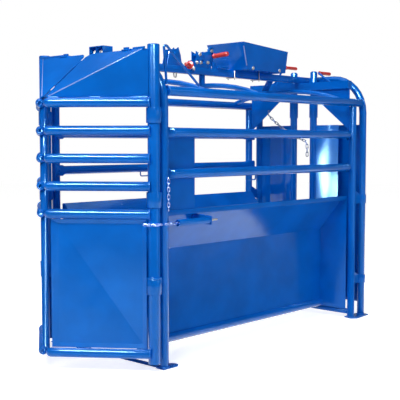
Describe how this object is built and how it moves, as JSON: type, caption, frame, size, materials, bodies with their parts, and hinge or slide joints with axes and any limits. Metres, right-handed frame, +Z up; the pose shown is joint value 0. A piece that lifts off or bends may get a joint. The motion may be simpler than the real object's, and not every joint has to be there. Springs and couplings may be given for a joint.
{
  "type": "roping chute",
  "caption": "Steel roping chute with swinging spring-loaded nose gates, slanted side sheets, a sliding rear gate worked by levers, an overhead beam with release gear and a tool tray.",
  "frame": {"origin": "middle of the footprint, on the ground", "axes": "+Z up, +Y from the nose gates to the rear gate, +X to the near side, the one with the shield panel and the trip handle"},
  "size_m": [1.171, 2.791, 2.0726],
  "materials": {
    "blue_powder_coat": "glossy royal blue powder coat on steel tube and sheet",
    "red_grip": "satin red dipped or moulded grip",
    "zinc_plate": "bright zinc plate on steel",
    "spring_steel": "dark oiled spring wire"
  },
  "bodies": {
    "frame": {"front_arch": "blue_powder_coat", "rear_arch": "blue_powder_coat", "rear_posts": "blue_powder_coat", "front_sill": "blue_powder_coat", "rear_header": "blue_powder_coat", "top_beam": "blue_powder_coat", "front_roof_bow": "blue_powder_coat", "middle_roof_bow": "blue_powder_coat", "rear_roof_bow": "blue_powder_coat", "near_top_rail": "blue_powder_coat", "far_top_rail": "blue_powder_coat", "near_middle_rail": "blue_powder_coat", "far_middle_rail": "blue_powder_coat", "near_lower_rail": "blue_powder_coat", "far_lower_rail": "blue_powder_coat", "near_side_wall": "blue_powder_coat", "far_side_wall": "blue_powder_coat", "near_shield_panel": "blue_powder_coat", "near_spring_tube": "blue_powder_coat", "far_spring_tube": "blue_powder_coat", "near_gate_spring": "spring_steel", "far_gate_spring": "spring_steel", "near_tension_rod": "zinc_plate", "far_tension_rod": "zinc_plate", "near_spring_chain": "zinc_plate", "far_spring_chain": "zinc_plate", "front_hanging_chain": "zinc_plate", "rear_slack_chain": "zinc_plate", "near_rope_guard": "blue_powder_coat", "far_rope_guard": "blue_powder_coat", "tool_tray": "blue_powder_coat", "front_tray_clamp": "zinc_plate", "rear_tray_clamp": "zinc_plate", "rope_ears": "blue_powder_coat", "latch_cheeks": "blue_powder_coat", "trip_lever_bracket": "blue_powder_coat", "knob_lever_bracket": "blue_powder_coat", "latch_housing": "blue_powder_coat"},
    "near_gate": {"near_gate_frame": "blue_powder_coat", "near_gate_hood": "blue_powder_coat", "near_gate_pan": "blue_powder_coat", "near_chain_wrap": "zinc_plate"},
    "far_gate": {"far_gate_frame": "blue_powder_coat", "far_gate_hood": "blue_powder_coat", "far_gate_pan": "blue_powder_coat", "far_chain_wrap": "zinc_plate"},
    "near_leaf": {"near_rear_leaf": "blue_powder_coat"},
    "far_leaf": {"far_rear_leaf": "blue_powder_coat"},
    "near_lever": {"near_rear_lever": "blue_powder_coat", "near_rear_grip": "red_grip"},
    "far_lever": {"far_rear_lever": "blue_powder_coat", "far_rear_grip": "red_grip"},
    "trip_handle": {"trip_lever": "blue_powder_coat", "trip_grip": "red_grip"},
    "knob_handle": {"knob_lever": "zinc_plate", "lever_knob": "red_grip"},
    "jaw": {"latch_jaw": "zinc_plate"},
    "roller": {"latch_roller": "zinc_plate"},
    "pulley": {"rope_pulley": "zinc_plate"}
  },
  "joints": [
    {"name": "near_gate_hinge", "type": "hinge", "parent": "frame", "child": "near_gate", "pos_m": [0.5115, -0.96839, 0], "axis": [0, 0, 1], "range_deg": [0, 110]},
    {"name": "far_gate_hinge", "type": "hinge", "parent": "frame", "child": "far_gate", "pos_m": [-0.5115, -0.96839, 0], "axis": [0, 0, -1], "range_deg": [0, 110]},
    {"name": "near_leaf_slide", "type": "slide", "parent": "frame", "child": "near_leaf", "axis": [1, 0, 0], "range_m": [0, 0.17]},
    {"name": "far_leaf_slide", "type": "slide", "parent": "frame", "child": "far_leaf", "axis": [-1, 0, 0], "range_m": [0, 0.17]},
    {"name": "near_lever_hinge", "type": "hinge", "parent": "frame", "child": "near_lever", "pos_m": [0.363, 1.22961, 1.795], "axis": [0, 1, 0], "range_deg": [0, 45]},
    {"name": "far_lever_hinge", "type": "hinge", "parent": "frame", "child": "far_lever", "pos_m": [-0.363, 1.22961, 1.795], "axis": [0, -1, 0], "range_deg": [0, 27]},
    {"name": "trip_hinge", "type": "hinge", "parent": "frame", "child": "trip_handle", "pos_m": [0, 0.11161, 1.9103], "axis": [-1, 0, 0], "range_deg": [0, 30], "stiffness_Nm_per_rad": 2},
    {"name": "jaw_hinge", "type": "hinge", "parent": "frame", "child": "jaw", "pos_m": [-0.045, -0.92369, 1.9143], "axis": [1, 0, 0], "range_deg": [0, 20]},
    {"name": "roller_spin", "type": "hinge", "parent": "frame", "child": "roller", "pos_m": [0.021, -0.92369, 1.9143], "axis": [1, 0, 0], "continuous": true},
    {"name": "pulley_spin", "type": "hinge", "parent": "frame", "child": "pulley", "pos_m": [0, -0.28839, 1.955], "axis": [1, 0, 0], "continuous": true},
    {"name": "knob_hinge", "type": "hinge", "parent": "frame", "child": "knob_handle", "pos_m": [0.045, -0.12339, 1.865], "axis": [0, 0, 1], "range_deg": [0, 40]}
  ],
  "couplings": [
    {"joint": "near_lever_hinge", "follows": "near_leaf_slide", "rad_per_m": 4.6},
    {"joint": "far_lever_hinge", "follows": "far_leaf_slide", "rad_per_m": 2.77},
    {"joint": "jaw_hinge", "follows": "trip_hinge", "ratio": 0.6666}
  ]
}
